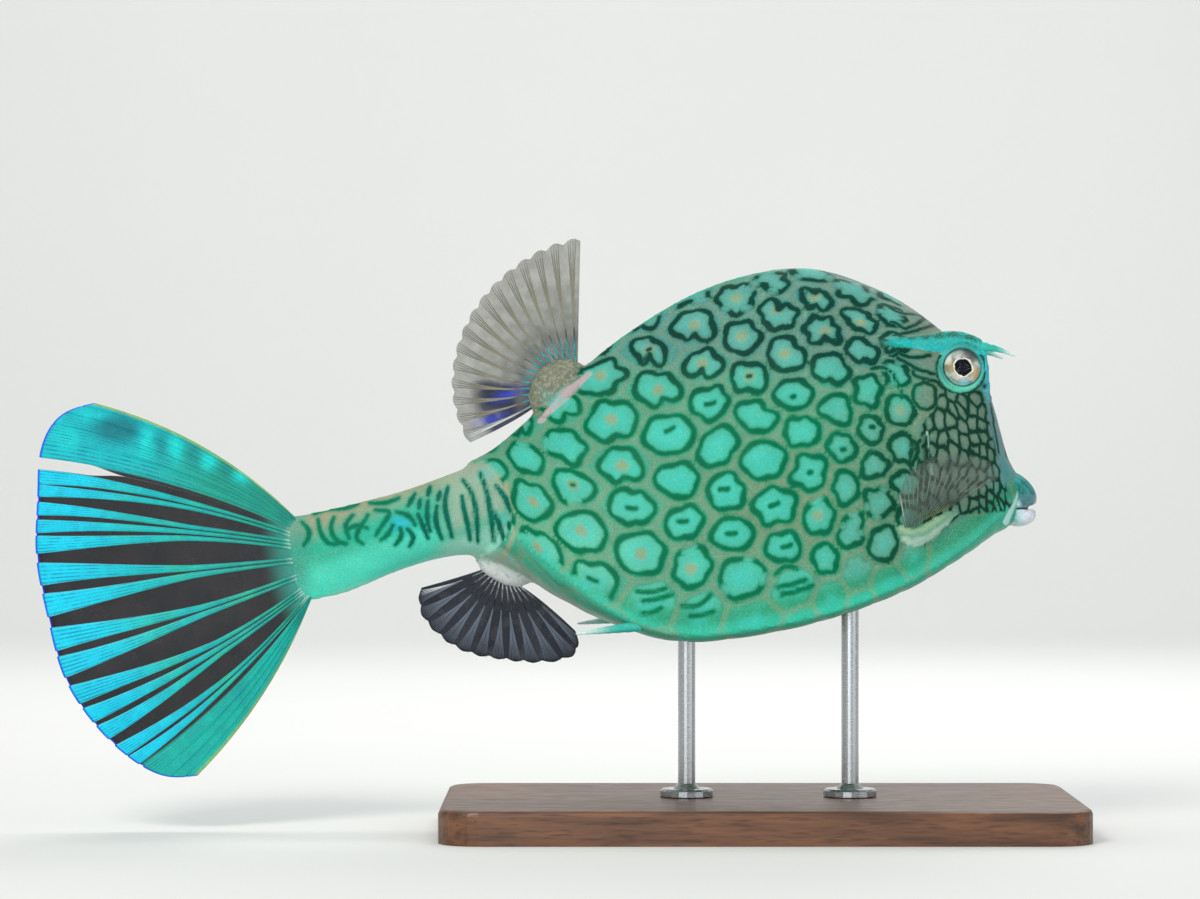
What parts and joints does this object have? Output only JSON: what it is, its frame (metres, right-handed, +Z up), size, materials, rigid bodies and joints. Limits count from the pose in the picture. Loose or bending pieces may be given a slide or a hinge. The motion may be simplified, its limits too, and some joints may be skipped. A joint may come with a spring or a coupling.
{
  "type": "boxfish model on a display stand",
  "caption": "Life-size still model of a honeycomb boxfish swimming nose up, held by rods on a flat display base.",
  "frame": {"origin": "centre of the stand base's underside", "axes": "+X towards the fish's snout, +Y towards its left side, +Z up"},
  "size_m": [0.3117, 0.11, 0.1778],
  "materials": {
    "shell_skin": "satin turquoise skin with dark green rings",
    "soft_skin": "satin pale turquoise skin",
    "eye": "glossy silver and gold with a blue-black pupil",
    "horn": "satin cyan with a pale tip",
    "tail_fin": "cyan rays on a dark smoky web",
    "clear_fin": "grey-white rays on a clear bluish web",
    "lip": "soft white and grey-cyan flesh",
    "stand_wood": "dark oiled wood",
    "stand_metal": "brushed"
  },
  "bodies": {
    "root": {"head": "shell_skin", "carapace": "shell_skin", "tail_stalk": "soft_skin", "mouth": "lip", "eye_left": "eye", "eye_right": "eye", "horn_left": "horn", "horn_right": "horn", "pelvic_spine_left": "horn", "pelvic_spine_right": "horn", "dorsal_fin_root": "soft_skin", "dorsal_fin": "clear_fin", "anal_fin_root": "soft_skin", "anal_fin": "clear_fin", "pectoral_fin_root_left": "soft_skin", "pectoral_fin_left": "clear_fin", "pectoral_fin_root_right": "soft_skin", "pectoral_fin_right": "clear_fin", "tail_fin": "tail_fin", "stand_base": "stand_wood", "stand_rod_front": "stand_metal", "stand_rod_rear": "stand_metal"}
  },
  "joints": []
}
